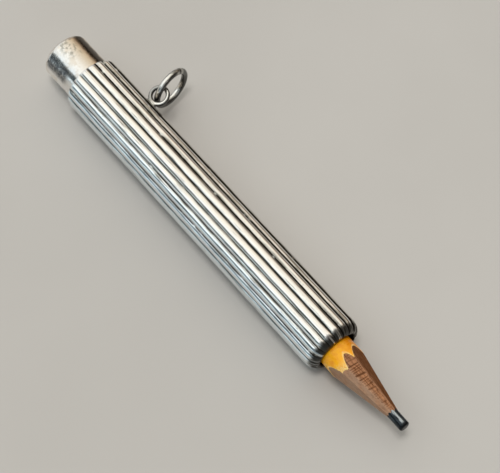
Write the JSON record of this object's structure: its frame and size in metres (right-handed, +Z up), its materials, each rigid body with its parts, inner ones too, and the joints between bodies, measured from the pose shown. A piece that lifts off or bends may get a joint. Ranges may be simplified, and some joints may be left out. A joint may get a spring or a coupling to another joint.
{
  "type": "pencil",
  "caption": "Short round wooden pencil with a whittled point in a reeded silver sliding sleeve; the closed inner tube draws out behind, and a loose ring hangs in an eyelet.",
  "frame": {"origin": "middle of the outline's bottom, on the surface that the closed holder lies on", "axes": "+X along the holder from the closed back end to the pencil's point, +Y to the side of the eyelet, +Z up"},
  "size_m": [0.1072, 0.0226, 0.0126],
  "materials": {
    "reeded_silver": "polished silver with tarnish in the grooves",
    "smooth_silver": "satin silver with grey patina",
    "dark_silver": "oxidised silver",
    "spring_metal": "bare spring brass",
    "cedar": "bare knife-cut cedar, darkened",
    "lacquer": "orange-yellow gloss lacquer",
    "graphite": "burnished graphite and clay lead"
  },
  "bodies": {
    "holder": {"sleeve": "reeded_silver", "back_bush": "smooth_silver", "nose_bush": "smooth_silver", "eyelet": "dark_silver"},
    "drag": {"drag_spring": "spring_metal"},
    "tube": {"slide_tube": "smooth_silver", "end_cap": "smooth_silver", "stop_collar": "smooth_silver", "keeper_collar": "smooth_silver", "back_stop": "smooth_silver", "pencil_grip": "spring_metal"},
    "pencil": {"upper_slat": "cedar", "lower_slat": "cedar", "lacquer_coat": "lacquer", "lead": "graphite"},
    "ring": {"jump_ring": "dark_silver"}
  },
  "joints": [
    {"name": "tube_slide", "type": "slide", "parent": "holder", "child": "drag", "axis": [-1, 0, 0], "range_m": [0, 0.022]},
    {"name": "tube_turn", "type": "hinge", "parent": "drag", "child": "tube", "pos_m": [-0.0125, -0.00503, 0.00629], "axis": [1, 0, 0], "continuous": true},
    {"name": "pencil_draw", "type": "slide", "parent": "tube", "child": "pencil", "axis": [0.9999, -0.0113, 0], "range_m": [0, 0.038]},
    {"name": "ring_swing", "type": "hinge", "parent": "holder", "child": "ring", "pos_m": [-0.0318, 0.00471, 0.00945], "axis": [0.9868, 0.1621, 0.0052], "range_deg": [0, 137]}
  ]
}
